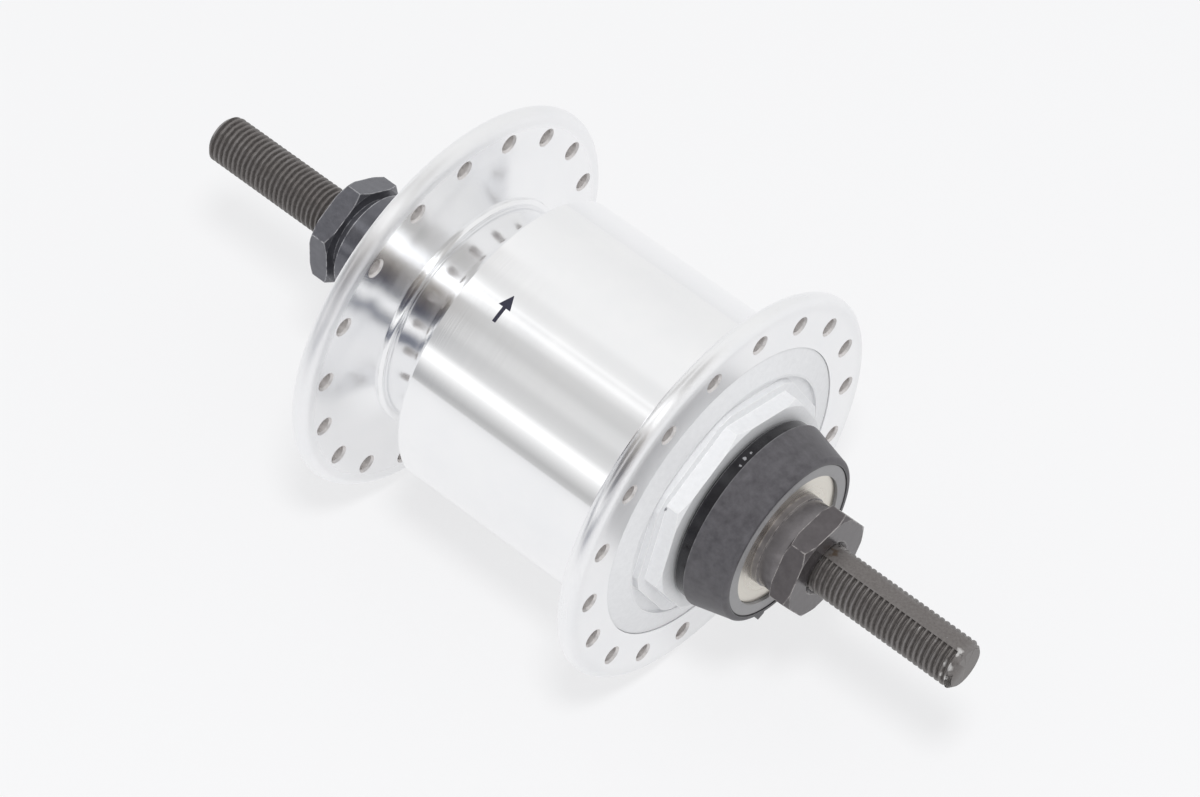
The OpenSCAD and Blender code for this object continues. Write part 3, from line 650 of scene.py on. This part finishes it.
# Bearings
# Each has nine balls in a pressed retainer between a hardened cup in the shell or cap and a cone
# that is screwed on the axle. Cups and cones are ground.
ground, tree, shader = finish("ground_bearing_steel", 1.0, 0.22)
coat(tree, shader, group(tree, lathe_marks, 5.0, 0.4), (0.52, 0.53, 0.54), (0.64, 0.64, 0.65),
     0.18, 0.3, 0.00001)
dress(ground, "left_cone", "right_cone", "left_bearing_cup", "right_bearing_cup")

balls, tree, shader = finish("ball_steel", 1.0, 0.06)
coat(tree, shader, group(tree, fine_grain, 1.0, 0.4), (0.74, 0.75, 0.76), (0.82, 0.82, 0.83),
     0.04, 0.1, 0.000002)
dress(balls, "left_bearing_balls", "right_bearing_balls")

pressed, tree, shader = finish("pressed_retainer_steel", 1.0, 0.38)
coat(tree, shader, group(tree, fine_grain, 2.0, 0.5), (0.42, 0.4, 0.36), (0.52, 0.5, 0.46),
     0.32, 0.45, 0.00001)
dress(pressed, "left_ball_retainer", "right_ball_retainer")

# End cap
# A cast and turned aluminium cap is screwed into the right end of the barrel by its eight-sided
# boss, on a thin gasket. A rubber ring in its bore keeps water from the bearing.
satin, tree, shader = finish("satin_aluminium", 0.22, 0.42)
rings = group(tree, lathe_marks, 3.0, 0.3)
worn = group(tree, edge_wear_and_highlight, 0.00025, 0.7)
skin = tinted(tree, group(tree, fine_grain, 1.2, 0.5)["Shade"], (0.82, 0.825, 0.835), (0.88, 0.885, 0.895))
skin = tinted(tree, worn["Wear"], skin, (0.93, 0.93, 0.93))
# Three small dark spots on corners of the boss
for dark_spot, size in (((0.0128, -0.0310, 0.0133), 0.0005), ((-0.0141, -0.0291, 0.0119), 0.0005),
                   ((-0.0179, -0.0295, 0.0045), 0.0004)):
    skin = tinted(tree, group(tree, spot, dark_spot, size)["Mask"], skin, (0.30, 0.30, 0.32))
tree.links.new(skin, shader.inputs["Base Color"])
tree.links.new(between(tree, rings["Shade"], 0.4, 0.52), shader.inputs["Roughness"])
bump(tree, shader, rings["Height"], 0.000012)
dress(satin, "end_cap")

rubber, tree, shader = finish("black_rubber", 0.0, 0.7)
coat(tree, shader, group(tree, fine_grain, 2.0, 0.5), (0.016, 0.016, 0.017), (0.035, 0.035, 0.036),
     0.6, 0.8, 0.00004)
dress(rubber, "end_cap_gasket", "right_seal")

# Dust ring
# The ring on the right cone is moulded in glossy black plastic and covers the joint between the
# cap and the socket. A few crumbs of dirt lie on its top.
glossy, tree, shader = finish("glossy_black_plastic", 0.0, 0.14)
shader.inputs["Specular IOR Level"].default_value = 0.35
grain = group(tree, fine_grain, 1.0, 0.4)
skin = tinted(tree, grain["Shade"], (0.008, 0.008, 0.010), (0.015, 0.014, 0.017))
skin = tinted(tree, group(tree, edge_wear_and_highlight, 0.0002, 0.6)["Wear"], skin, (0.2, 0.2, 0.21))
for crumb, size in (((-0.0016, -0.0333, 0.0153), 0.00034), ((-0.0029, -0.0336, 0.0151), 0.0003),
                    ((-0.0003, -0.0334, 0.0154), 0.00026)):
    skin = tinted(tree, group(tree, spot, crumb, size)["Mask"], skin, (0.30, 0.30, 0.31))
tree.links.new(skin, shader.inputs["Base Color"])
tree.links.new(between(tree, grain["Shade"], 0.1, 0.22), shader.inputs["Roughness"])
bump(tree, shader, grain["Height"], 0.000006)
dress(glossy, "dust_ring")

# Socket and left dust shield
# The socket's body and the shield on the left cone are moulded in charcoal plastic, mottled and
# matte. A lighter ring is let into the body's face, round a nickel-plated plate. Two brass blades
# stand in its pocket.
charcoal, tree, shader = finish("charcoal_plastic", 0.0, 0.48)
mottle = group(tree, fine_grain, 0.7, 0.55)
skin = tinted(tree, mottle["Shade"], (0.050, 0.047, 0.053), (0.102, 0.098, 0.107))
skin = tinted(tree, group(tree, edge_wear_and_highlight, 0.0003, 0.5)["Wear"], skin, (0.15, 0.15, 0.155))
skin = tinted(tree, group(tree, specks, 0.35, 0.05, 0.3)["Mask"], skin, (0.45, 0.45, 0.45))
tree.links.new(skin, shader.inputs["Base Color"])
tree.links.new(between(tree, mottle["Shade"], 0.4, 0.56), shader.inputs["Roughness"])
bump(tree, shader, mottle["Height"], 0.00004)
dress(charcoal, "connector_body", "left_dust_shield")

# The inset ring's outer edge is a dark joint
grey_ring, tree, shader = finish("grey_plastic", 0.0, 0.45)
grain = group(tree, fine_grain, 1.0, 0.5)
skin = tinted(tree, grain["Shade"], (0.30, 0.297, 0.302), (0.36, 0.357, 0.362))
place, along_axle, radius = from_axle(tree)
skin = tinted(tree, between(tree, radius, 0.0, 1.0, 0.01302, 0.01310), skin, (0.012, 0.012, 0.013))
tree.links.new(skin, shader.inputs["Base Color"])
tree.links.new(between(tree, grain["Shade"], 0.38, 0.52), shader.inputs["Roughness"])
bump(tree, shader, grain["Height"], 0.00002)
dress(grey_ring, "connector_inset_ring")

nickel, tree, shader = finish("nickel_plate", 1.0, 0.28)
coat(tree, shader, group(tree, lathe_marks, 3.0, 0.5), (0.64, 0.605, 0.54), (0.73, 0.70, 0.635),
     0.22, 0.36, 0.00001)
dress(nickel, "contact_plate")

brass, tree, shader = finish("tinned_brass", 1.0, 0.28)
coat(tree, shader, group(tree, fine_grain, 3.0, 0.4), (0.72, 0.55, 0.26), (0.82, 0.68, 0.4),
     0.22, 0.36, 0.000008)
dress(brass, "contact_blades")

# Washers, spacers and locknuts
# Turned or forged steel in black oxide, screwed or slid on the axle. Their edges are bright, partly rubbed
# steel and partly a painted highlight, most of all the corners of the nuts.
# One black oxide in copies of different tone: the lighter one on the right spacer and washer is partly
# painted light, the darker one on the right locknut partly painted shade
for name, dark_skin, light_skin, bare_and_highlight, smooth, rough, pieces in (
        ("shaded_brown_black_oxide", (0.080, 0.072, 0.075), (0.122, 0.112, 0.116), (0.42, 0.40, 0.39), 0.16, 0.27,
         ("right_locknut", )),
        ("lit_grey_black_oxide", (0.170, 0.158, 0.163), (0.235, 0.222, 0.228), (0.42, 0.40, 0.39), 0.16, 0.28,
         ("right_spacer", "right_washer")),
        ("blue_black_oxide", (0.098, 0.099, 0.114), (0.142, 0.143, 0.160), (0.50, 0.50, 0.52), 0.14, 0.25,
         ("left_locknut", "left_spacer", "left_washer"))):
    oxide, tree, shader = finish(name, 0.5, 0.32)
    grain = group(tree, fine_grain, 0.7, 0.4)
    skin = tinted(tree, grain["Shade"], dark_skin, light_skin)
    # Bright edges: rubbed steel and a painted edge highlight
    skin = tinted(tree, group(tree, edge_wear_and_highlight, 0.0003, 0.50)["Wear"], skin, bare_and_highlight)
    tree.links.new(skin, shader.inputs["Base Color"])
    tree.links.new(between(tree, grain["Shade"], smooth, rough), shader.inputs["Roughness"])
    bump(tree, shader, grain["Height"], 0.00003)
    dress(oxide, *pieces)

# Direction mark
# A small arrow printed in dark ink on the barrel points forward over the top. Its stem and its
# head are two thin strips that overlap a little.
ink, tree, shader = finish("dark_ink", 0.0, 0.5)
coat(tree, shader, group(tree, fine_grain, 3.0, 0.4), (0.012, 0.012, 0.03), (0.03, 0.03, 0.05),
     0.4, 0.6, 0.000004)
barrel_r = 0.0248
mark_top, mark_bottom = barrel_r + 0.00003, barrel_r - 0.00002
mark_y, mark_turn = 0.0067, math.radians(111.1)
mark_half = 0.0024


def on_barrel(side, ahead, radius):
    """Points round the barrel: side is along the axle, and ahead is the arc length towards the
    front, which is divided by the barrel's radius for the turn back from the mark's middle."""
    angle = mark_turn - ahead / barrel_r
    return np.stack([radius * np.cos(angle), mark_y + side, radius * np.sin(angle)], axis=-1)


def strip(half_start, half_end, low, high):
    """A strip in 13 rows of four corners, closed all round. Its half width goes evenly from the
    start's to the end's while it runs from low to high."""
    steps = np.linspace(0.0, 1.0, 13)
    half = half_start + (half_end - half_start) * steps
    ahead = low + (high - low) * steps
    corners = [on_barrel(-half, ahead, mark_top), on_barrel(half, ahead, mark_top),
               on_barrel(half, ahead, mark_bottom), on_barrel(-half, ahead, mark_bottom)]
    points = np.stack(corners, axis=1).reshape(-1, 3)
    number = np.arange(len(points)).reshape(-1, 4)
    beside = np.roll(number, -1, axis=1)
    quads = np.stack([number[:-1], beside[:-1], beside[1:], number[1:]], axis=-1).reshape(-1, 4)
    return points, np.concatenate([quads, [number[0], number[-1][::-1]]])


new_piece("direction_mark_stem", *strip(0.0003, 0.0003, -mark_half, 0.0003), ink, "rotating_shell",
          "polished_aluminium")
new_piece("direction_mark_head", *strip(0.0011, 0.00004, 0.0002, mark_half), ink, "rotating_shell",
          "polished_aluminium")
